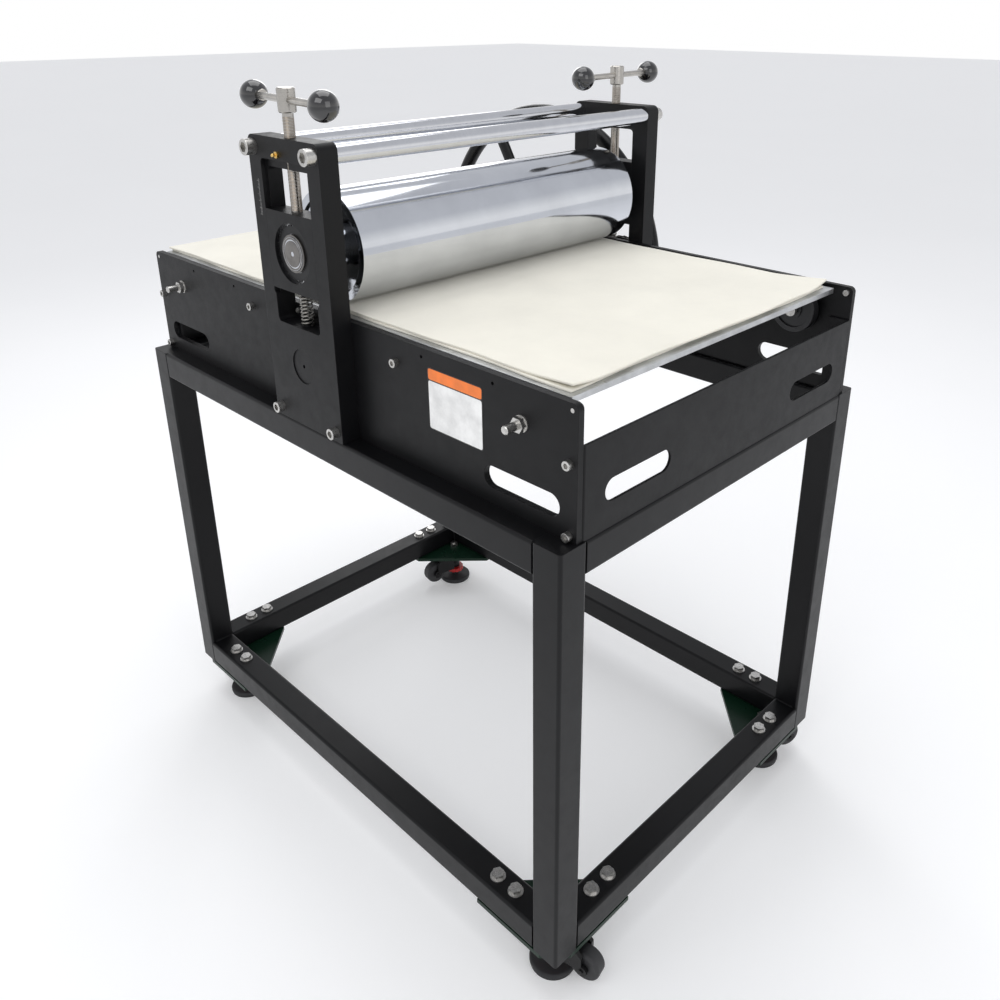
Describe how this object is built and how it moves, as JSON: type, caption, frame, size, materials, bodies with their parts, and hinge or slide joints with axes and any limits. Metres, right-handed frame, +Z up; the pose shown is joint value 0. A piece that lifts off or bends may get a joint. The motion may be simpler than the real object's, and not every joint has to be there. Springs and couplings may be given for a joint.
{
  "type": "etching press",
  "caption": "Floor-standing etching press: geared handwheel drives a flat bed between two steel rollers, pressure set by two screws, on a tube stand with levelling castors.",
  "frame": {"origin": "on the floor, under the middle of the outline of the whole press", "axes": "+X along the bed travel towards the labelled end, +Y along the rollers towards the handwheel, +Z up"},
  "size_m": [1.1329, 0.8982, 1.3435],
  "materials": {
    "stand_paint": "satin powder coat",
    "plate_paint": "fine textured powder coat",
    "gusset_paint": "satin dark green",
    "zinc": "bright zinc",
    "black_steel": "black oxide",
    "chrome": "polished",
    "bearing_steel": "ground",
    "bed_steel": "ground",
    "felt": "pressed wool felt",
    "knob_black": "polished phenolic",
    "stainless": "turned",
    "housing_black": "satin",
    "wheel_rubber": "moulded",
    "pad_rubber": "moulded",
    "dial_red": "moulded",
    "brass": "turned",
    "handwheel_paint": "gloss paint on cast iron",
    "label_white": "printed vinyl, no lettering",
    "label_orange": "printed vinyl, no lettering",
    "wheel_black": "turned nylon"
  },
  "bodies": {
    "press_frame": {"stand_legs": "stand_paint", "stand_top_rails": "stand_paint", "stand_bottom_rails": "stand_paint", "side_plate_near": "plate_paint", "side_plate_far": "plate_paint", "end_plate_front": "plate_paint", "end_plate_rear": "plate_paint", "upright_near": "plate_paint", "upright_far": "plate_paint", "tie_bars": "chrome", "tie_bar_screws": "zinc", "cap_screws": "zinc", "gusset_plates": "gusset_paint", "gusset_bolts": "zinc", "lower_bearing_caps": "plate_paint", "lower_bearing_outers": "bearing_steel", "wheel_axles": "zinc", "wheel_axle_nuts": "zinc", "lift_springs": "stainless", "grease_nipples": "brass", "cross_bars": "stainless", "drive_housing": "housing_black", "drive_chain": "black_steel"},
    "bed": {"bed_plate": "bed_steel", "felt_lower": "felt", "felt_upper": "felt"},
    "lower_roller": {"lower_roller": "stainless", "lower_bearing_inners": "bearing_steel", "driven_sprocket": "black_steel"},
    "handwheel": {"handwheel": "handwheel_paint", "handwheel_shaft": "stainless", "drive_sprocket": "black_steel"},
    "carriage": {"bearing_blocks": "plate_paint", "upper_bearing_outers": "bearing_steel"},
    "upper_roller": {"upper_roller": "chrome", "upper_bearing_inners": "bearing_steel"},
    "screw_near": {"pressure_screw_near": "stainless", "handle_bar_near": "stainless", "ball_knobs_near": "knob_black"},
    "screw_far": {"pressure_screw_far": "stainless", "handle_bar_far": "stainless", "ball_knobs_far": "knob_black"},
    "wheels_front": {"support_wheels_front": "wheel_black"},
    "wheels_rear": {"support_wheels_rear": "wheel_black"},
    "caster_1": {"caster_housing_1": "housing_black"},
    "caster_wheel_1": {"caster_wheel_1": "wheel_rubber"},
    "leveling_pad_1": {"leveling_pad_1": "pad_rubber"},
    "leveling_dial_1": {"leveling_dial_1": "dial_red"},
    "caster_2": {"caster_housing_2": "housing_black"},
    "caster_wheel_2": {"caster_wheel_2": "wheel_rubber"},
    "leveling_pad_2": {"leveling_pad_2": "pad_rubber"},
    "leveling_dial_2": {"leveling_dial_2": "dial_red"},
    "caster_3": {"caster_housing_3": "housing_black"},
    "caster_wheel_3": {"caster_wheel_3": "wheel_rubber"},
    "leveling_pad_3": {"leveling_pad_3": "pad_rubber"},
    "leveling_dial_3": {"leveling_dial_3": "dial_red"},
    "caster_4": {"caster_housing_4": "housing_black"},
    "caster_wheel_4": {"caster_wheel_4": "wheel_rubber"},
    "leveling_pad_4": {"leveling_pad_4": "pad_rubber"},
    "leveling_dial_4": {"leveling_dial_4": "dial_red"}
  },
  "joints": [
    {"name": "handwheel_turn", "type": "hinge", "parent": "press_frame", "child": "handwheel", "pos_m": [-0.24718, 0.37782, 0.929], "axis": [0, 1, 0], "range_deg": [-771.43, 771.43]},
    {"name": "lower_roller_spin", "type": "hinge", "parent": "press_frame", "child": "lower_roller", "pos_m": [0, -0.04918, 0.929], "axis": [0, 1, 0], "range_deg": [-310.57, 310.57]},
    {"name": "bed_slide", "type": "slide", "parent": "press_frame", "child": "bed", "axis": [1, 0, 0], "range_m": [-0.396, 0.396]},
    {"name": "roller_lift", "type": "slide", "parent": "press_frame", "child": "carriage", "axis": [0, 0, 1], "range_m": [0, 0.03], "deforming": ["lift_springs"]},
    {"name": "upper_roller_spin", "type": "hinge", "parent": "carriage", "child": "upper_roller", "pos_m": [0, -0.04918, 1.10605], "axis": [0, 1, 0], "range_deg": [-261.2, 261.2]},
    {"name": "screw_near_turn", "type": "hinge", "parent": "carriage", "child": "screw_near", "pos_m": [0, -0.41068, 1.3225], "axis": [0, 0, 1], "range_deg": [0, 5402]},
    {"name": "screw_far_turn", "type": "hinge", "parent": "carriage", "child": "screw_far", "pos_m": [0, 0.31232, 1.3225], "axis": [0, 0, 1], "range_deg": [0, 5402]},
    {"name": "support_wheels_front_spin", "type": "hinge", "parent": "press_frame", "child": "wheels_front", "pos_m": [0.443, -0.04918, 0.9625], "axis": [0, 1, 0], "range_deg": [-569, 569]},
    {"name": "support_wheels_rear_spin", "type": "hinge", "parent": "press_frame", "child": "wheels_rear", "pos_m": [-0.443, -0.04918, 0.9625], "axis": [0, 1, 0], "range_deg": [-569, 569]},
    {"name": "caster_swivel_1", "type": "hinge", "parent": "press_frame", "child": "caster_1", "pos_m": [0.476, -0.36268, 0.09], "axis": [0, 0, 1], "continuous": true},
    {"name": "caster_roll_1", "type": "hinge", "parent": "caster_1", "child": "caster_wheel_1", "pos_m": [0.53762, -0.34958, 0.039], "axis": [-0.2079, 0.9781, 0], "continuous": true},
    {"name": "pad_lift_1", "type": "slide", "parent": "caster_1", "child": "leveling_pad_1", "axis": [0, 0, 1], "range_m": [0, 0.012]},
    {"name": "dial_turn_1", "type": "hinge", "parent": "caster_1", "child": "leveling_dial_1", "pos_m": [0.476, -0.36268, 0.029], "axis": [0, 0, 1], "range_deg": [0, 2162]},
    {"name": "caster_swivel_2", "type": "hinge", "parent": "press_frame", "child": "caster_2", "pos_m": [0.476, 0.26432, 0.09], "axis": [0, 0, 1], "continuous": true},
    {"name": "caster_roll_2", "type": "hinge", "parent": "caster_2", "child": "caster_wheel_2", "pos_m": [0.4996, 0.32273, 0.039], "axis": [-0.9272, 0.3746, 0], "continuous": true},
    {"name": "pad_lift_2", "type": "slide", "parent": "caster_2", "child": "leveling_pad_2", "axis": [0, 0, 1], "range_m": [0, 0.012]},
    {"name": "dial_turn_2", "type": "hinge", "parent": "caster_2", "child": "leveling_dial_2", "pos_m": [0.476, 0.26432, 0.029], "axis": [0, 0, 1], "range_deg": [0, 2162]},
    {"name": "caster_swivel_3", "type": "hinge", "parent": "press_frame", "child": "caster_3", "pos_m": [-0.476, 0.26432, 0.09], "axis": [0, 0, 1], "continuous": true},
    {"name": "caster_roll_3", "type": "hinge", "parent": "caster_3", "child": "caster_wheel_3", "pos_m": [-0.48694, 0.20227, 0.039], "axis": [0.9848, -0.1736, 0], "continuous": true},
    {"name": "pad_lift_3", "type": "slide", "parent": "caster_3", "child": "leveling_pad_3", "axis": [0, 0, 1], "range_m": [0, 0.012]},
    {"name": "dial_turn_3", "type": "hinge", "parent": "caster_3", "child": "leveling_dial_3", "pos_m": [-0.476, 0.26432, 0.029], "axis": [0, 0, 1], "range_deg": [0, 2162]},
    {"name": "caster_swivel_4", "type": "hinge", "parent": "press_frame", "child": "caster_4", "pos_m": [-0.476, -0.36268, 0.09], "axis": [0, 0, 1], "continuous": true},
    {"name": "caster_roll_4", "type": "hinge", "parent": "caster_4", "child": "caster_wheel_4", "pos_m": [-0.53762, -0.34958, 0.039], "axis": [-0.2079, -0.9781, 0], "continuous": true},
    {"name": "pad_lift_4", "type": "slide", "parent": "caster_4", "child": "leveling_pad_4", "axis": [0, 0, 1], "range_m": [0, 0.012]},
    {"name": "dial_turn_4", "type": "hinge", "parent": "caster_4", "child": "leveling_dial_4", "pos_m": [-0.476, -0.36268, 0.029], "axis": [0, 0, 1], "range_deg": [0, 2162]}
  ],
  "couplings": [
    {"joint": "lower_roller_spin", "follows": "handwheel_turn", "ratio": 0.4},
    {"joint": "bed_slide", "follows": "handwheel_turn", "m_per_rad": 0.0294},
    {"joint": "upper_roller_spin", "follows": "handwheel_turn", "ratio": -0.336},
    {"joint": "support_wheels_front_spin", "follows": "handwheel_turn", "ratio": 0.735},
    {"joint": "support_wheels_rear_spin", "follows": "handwheel_turn", "ratio": 0.735},
    {"joint": "screw_near_turn", "follows": "roller_lift", "rad_per_m": 3141.6},
    {"joint": "screw_far_turn", "follows": "roller_lift", "rad_per_m": 3141.6},
    {"joint": "dial_turn_1", "follows": "pad_lift_1", "rad_per_m": 3141.6},
    {"joint": "dial_turn_2", "follows": "pad_lift_2", "rad_per_m": 3141.6},
    {"joint": "dial_turn_3", "follows": "pad_lift_3", "rad_per_m": 3141.6},
    {"joint": "dial_turn_4", "follows": "pad_lift_4", "rad_per_m": 3141.6}
  ]
}
